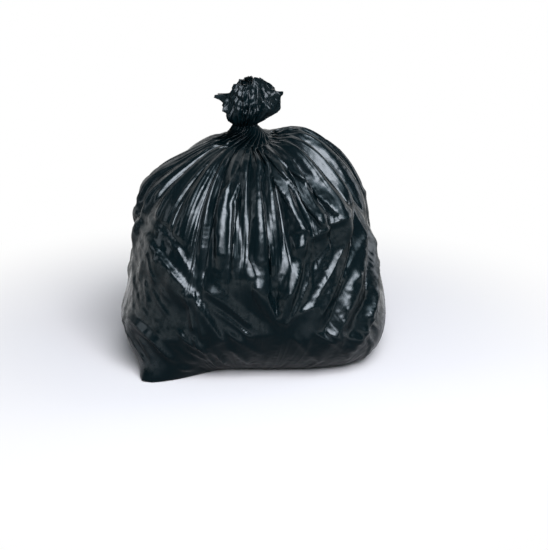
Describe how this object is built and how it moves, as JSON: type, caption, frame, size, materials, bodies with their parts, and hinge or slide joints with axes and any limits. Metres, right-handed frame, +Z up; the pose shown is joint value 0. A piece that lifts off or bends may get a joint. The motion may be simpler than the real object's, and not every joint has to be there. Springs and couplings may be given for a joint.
{
  "type": "knotted bin bag",
  "caption": "Filled plastic bin bag standing on its own bottom, its mouth gathered into a knotted neck with a crumpled tuft above.",
  "frame": {"origin": "centre of the flat patch that the bag stands on, straight under its knotted neck", "axes": "+Z up, towards the tuft; -Y towards the front, which the picture shows; +X to the right as seen from the front"},
  "size_m": [0.4651, 0.4019, 0.4908],
  "materials": {
    "film": "glossy black blown polyethylene film, wrinkled all over"
  },
  "bodies": {
    "root": {"knotted_bag": "film"}
  },
  "joints": []
}
